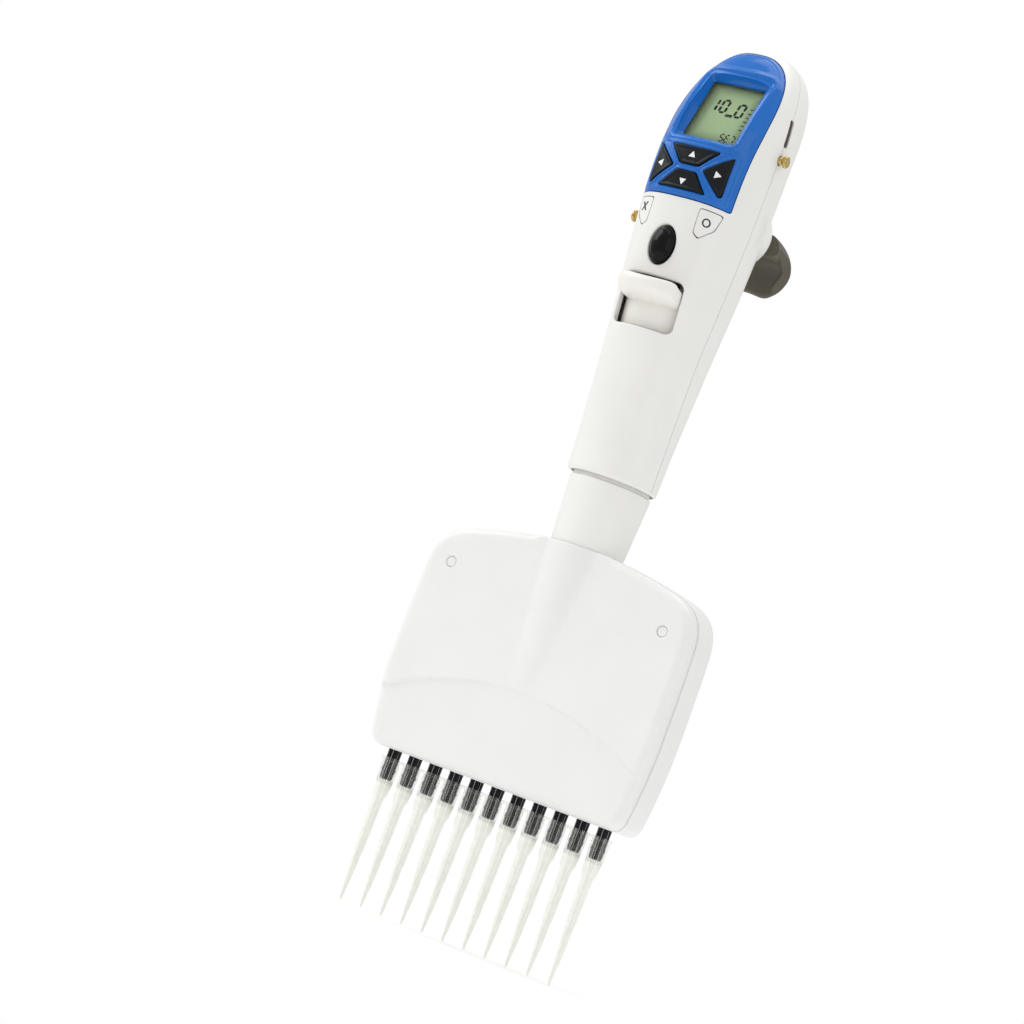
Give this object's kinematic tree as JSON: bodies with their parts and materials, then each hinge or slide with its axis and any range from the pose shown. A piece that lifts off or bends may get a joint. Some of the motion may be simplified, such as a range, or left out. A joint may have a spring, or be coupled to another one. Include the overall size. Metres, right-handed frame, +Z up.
{
  "type": "electronic multichannel pipette",
  "caption": "Hand-held electronic multichannel pipette with display, keypad, trigger, sliding tip ejector, swivelling head and a row of fitted tips.",
  "frame": {"origin": "centre of the row of tip ends, on the long axis", "axes": "+Z up the long axis towards the display, +X along the row of channels, -Y the front with display and keys"},
  "size_m": [0.1118, 0.0741, 0.34],
  "materials": {
    "shell_white": "satin moulded, warm white",
    "head_white": "satin moulded, neutral white",
    "ejector_white": "fine matte, ivory",
    "bezel_blue": "glossy moulded",
    "key_black": "satin, with white printed arrows",
    "trigger_black": "polished",
    "hook_taupe": "satin, dark taupe",
    "gold": "gold plated, polished",
    "display_lens": "clear, polished",
    "display_green": "liquid crystal display, grey green",
    "board_green": "circuit board lacquer",
    "dark_plastic": "fine matte",
    "motor_grey": "satin paint",
    "aluminium": "machined",
    "brass": "turned",
    "steel": "ground",
    "nozzle_black": "polished",
    "tip_clear": "natural translucent polypropylene"
  },
  "bodies": {
    "handle": {"handle_front_shell": "shell_white", "handle_rear_shell": "shell_white", "keypad_bezel": "bezel_blue", "display_window": "display_lens", "display_module": "display_green", "circuit_board": "board_green", "switch_mat": "dark_plastic", "battery_pack": "dark_plastic", "stepper_motor": "motor_grey", "motor_bracket": "aluminium", "swivel_bearing": "brass", "charging_post_right": "gold", "charging_post_left": "gold", "data_port": "dark_plastic", "finger_hook": "hook_taupe", "case_screw": "steel", "ejector_spring": "steel"},
    "arrow_up": {"key_up": "key_black"},
    "arrow_down": {"key_down": "key_black"},
    "arrow_right": {"key_right": "key_black"},
    "arrow_left": {"key_left": "key_black"},
    "cancel": {"cancel_key": "shell_white"},
    "enter": {"enter_key": "shell_white"},
    "trigger": {"trigger_button": "trigger_black"},
    "ejector": {"ejector_button": "ejector_white", "ejector_carriage": "dark_plastic", "ejector_tube": "aluminium"},
    "drive": {"lead_screw": "steel"},
    "head": {"swivel_neck": "shell_white", "neck_ring": "steel", "head_frame": "aluminium", "cylinder_block": "aluminium", "nozzle_01": "nozzle_black", "nozzle_02": "nozzle_black", "nozzle_03": "nozzle_black", "nozzle_04": "nozzle_black", "nozzle_05": "nozzle_black", "nozzle_06": "nozzle_black", "nozzle_07": "nozzle_black", "nozzle_08": "nozzle_black", "nozzle_09": "nozzle_black", "nozzle_10": "nozzle_black", "nozzle_11": "nozzle_black"},
    "covers": {"head_front_cover": "head_white", "head_rear_cover": "head_white", "ejector_yoke": "aluminium", "cover_screw_right": "head_white", "cover_screw_left": "head_white"},
    "pistons": {"piston_comb": "steel"},
    "tips": {"tip_01": "tip_clear", "tip_02": "tip_clear", "tip_03": "tip_clear", "tip_04": "tip_clear", "tip_05": "tip_clear", "tip_06": "tip_clear", "tip_07": "tip_clear", "tip_08": "tip_clear", "tip_09": "tip_clear", "tip_10": "tip_clear", "tip_11": "tip_clear"}
  },
  "joints": [
    {"name": "head_swivel", "type": "hinge", "parent": "handle", "child": "head", "pos_m": [0, 0, 0.18], "axis": [0, 0, 1], "continuous": true},
    {"name": "ejector_press", "type": "slide", "parent": "handle", "child": "ejector", "axis": [0, 0, -1], "range_m": [0, 0.009], "stiffness_N_per_m": 250, "springref_m": -0.012, "deforming": ["ejector_spring"]},
    {"name": "cover_slide", "type": "slide", "parent": "head", "child": "covers", "axis": [0, 0, -1], "range_m": [0, 0.009]},
    {"name": "tip_release", "type": "slide", "parent": "head", "child": "tips", "axis": [0, 0, -1], "range_m": [0, 0.009]},
    {"name": "plunger_drive", "type": "slide", "parent": "handle", "child": "drive", "axis": [0, 0, 1], "range_m": [0, 0.012]},
    {"name": "piston_stroke", "type": "slide", "parent": "head", "child": "pistons", "axis": [0, 0, 1], "range_m": [0, 0.012]},
    {"name": "arrow_up_press", "type": "slide", "parent": "handle", "child": "arrow_up", "axis": [0, 1, 0], "range_m": [0, 0.0008], "stiffness_N_per_m": 800, "springref_m": -0.0005},
    {"name": "arrow_down_press", "type": "slide", "parent": "handle", "child": "arrow_down", "axis": [0, 1, 0], "range_m": [0, 0.0008], "stiffness_N_per_m": 800, "springref_m": -0.0005},
    {"name": "arrow_right_press", "type": "slide", "parent": "handle", "child": "arrow_right", "axis": [0, 1, 0], "range_m": [0, 0.0008], "stiffness_N_per_m": 800, "springref_m": -0.0005},
    {"name": "arrow_left_press", "type": "slide", "parent": "handle", "child": "arrow_left", "axis": [0, 1, 0], "range_m": [0, 0.0008], "stiffness_N_per_m": 800, "springref_m": -0.0005},
    {"name": "cancel_press", "type": "slide", "parent": "handle", "child": "cancel", "axis": [0, 1, 0], "range_m": [0, 0.0005], "stiffness_N_per_m": 900, "springref_m": -0.0005},
    {"name": "enter_press", "type": "slide", "parent": "handle", "child": "enter", "axis": [0, 1, 0], "range_m": [0, 0.0005], "stiffness_N_per_m": 900, "springref_m": -0.0005},
    {"name": "trigger_press", "type": "slide", "parent": "handle", "child": "trigger", "axis": [0, 1, 0], "range_m": [0, 0.0015], "stiffness_N_per_m": 700, "springref_m": -0.0005}
  ],
  "couplings": [
    {"joint": "cover_slide", "follows": "ejector_press", "ratio": 1},
    {"joint": "tip_release", "follows": "ejector_press", "ratio": 1},
    {"joint": "piston_stroke", "follows": "plunger_drive", "ratio": 1}
  ]
}
